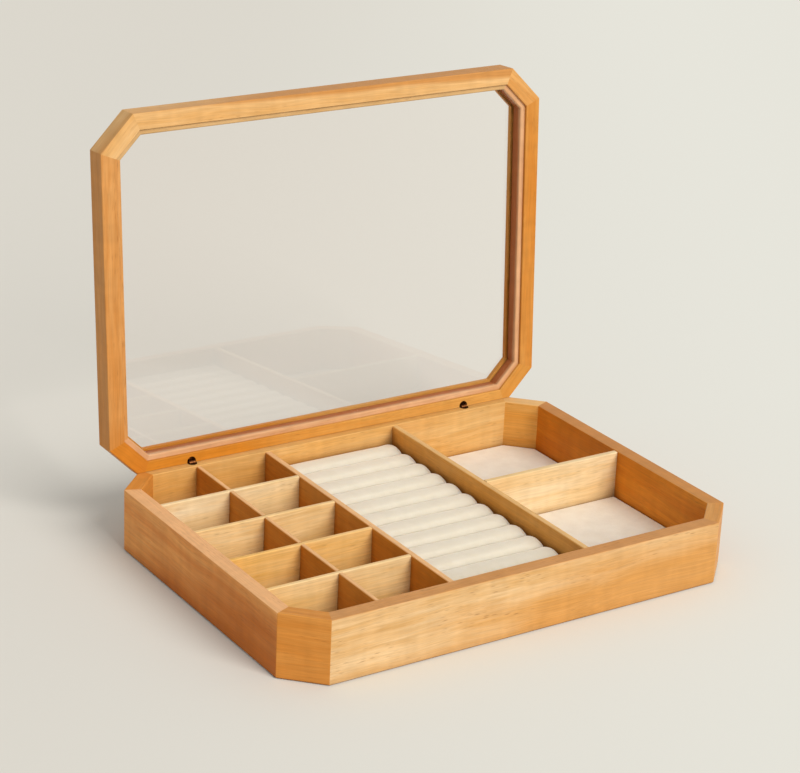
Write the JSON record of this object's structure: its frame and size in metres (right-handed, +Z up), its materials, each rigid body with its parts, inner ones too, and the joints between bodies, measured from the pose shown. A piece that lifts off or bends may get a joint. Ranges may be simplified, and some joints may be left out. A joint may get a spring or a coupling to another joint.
{
  "type": "accessory organizer box",
  "caption": "Octagonal wooden accessory organizer with a hinged glazed lid, a grid of small cells, a ring cushion and large felt-floored compartments.",
  "frame": {"origin": "centre of the underside of the box", "axes": "+X to the right along the length of the box, -Y to its front, +Z up"},
  "size_m": [0.32, 0.2559, 0.2676],
  "materials": {
    "shell_wood": "satin lacquer",
    "lid_wood": "satin lacquer",
    "divider_wood": "satin lacquer",
    "bead_wood": "satin lacquer",
    "panel_board": "plain sanded",
    "glass": "clear float glass",
    "felt": "short felt",
    "velvet": "short-pile velvet",
    "hinge_metal": "darkened brass"
  },
  "bodies": {
    "box": {"back_left_corner": "shell_wood", "back_right_corner": "shell_wood", "back_tray_lining": "felt", "back_wall": "shell_wood", "base_panel": "panel_board", "cell_divider_cross_1": "divider_wood", "cell_divider_cross_2": "divider_wood", "cell_divider_cross_3": "divider_wood", "cell_divider_cross_4": "divider_wood", "cell_divider_long": "divider_wood", "cell_lining": "felt", "front_left_corner": "shell_wood", "front_right_corner": "shell_wood", "front_tray_lining": "felt", "front_wall": "shell_wood", "hinge_fork_left": "hinge_metal", "hinge_fork_right": "hinge_metal", "hinge_pin_left": "hinge_metal", "hinge_pin_right": "hinge_metal", "left_bay_divider": "divider_wood", "left_wall": "shell_wood", "right_bay_divider": "divider_wood", "right_wall": "shell_wood", "ring_roll_01": "velvet", "ring_roll_02": "velvet", "ring_roll_03": "velvet", "ring_roll_04": "velvet", "ring_roll_05": "velvet", "ring_roll_06": "velvet", "ring_roll_07": "velvet", "ring_roll_08": "velvet", "ring_roll_09": "velvet", "ring_roll_10": "velvet", "ring_roll_11": "velvet", "ring_roll_12": "velvet", "ring_tray_board": "panel_board", "tray_divider": "divider_wood"},
    "lid": {"glass_pane": "glass", "glazing_bead_back": "bead_wood", "glazing_bead_back_left": "bead_wood", "glazing_bead_back_right": "bead_wood", "glazing_bead_front": "bead_wood", "glazing_bead_front_left": "bead_wood", "glazing_bead_front_right": "bead_wood", "glazing_bead_left": "bead_wood", "glazing_bead_right": "bead_wood", "hinge_tongue_left": "hinge_metal", "hinge_tongue_right": "hinge_metal", "lid_back_left_corner": "lid_wood", "lid_back_rail": "lid_wood", "lid_back_right_corner": "lid_wood", "lid_front_left_corner": "lid_wood", "lid_front_rail": "lid_wood", "lid_front_right_corner": "lid_wood", "lid_left_rail": "lid_wood", "lid_right_rail": "lid_wood"}
  },
  "joints": [
    {"name": "lid_hinge", "type": "hinge", "parent": "box", "child": "lid", "pos_m": [0, 0.1115, 0.0411], "axis": [1, 0, 0], "range_deg": [0, 93.5]}
  ]
}
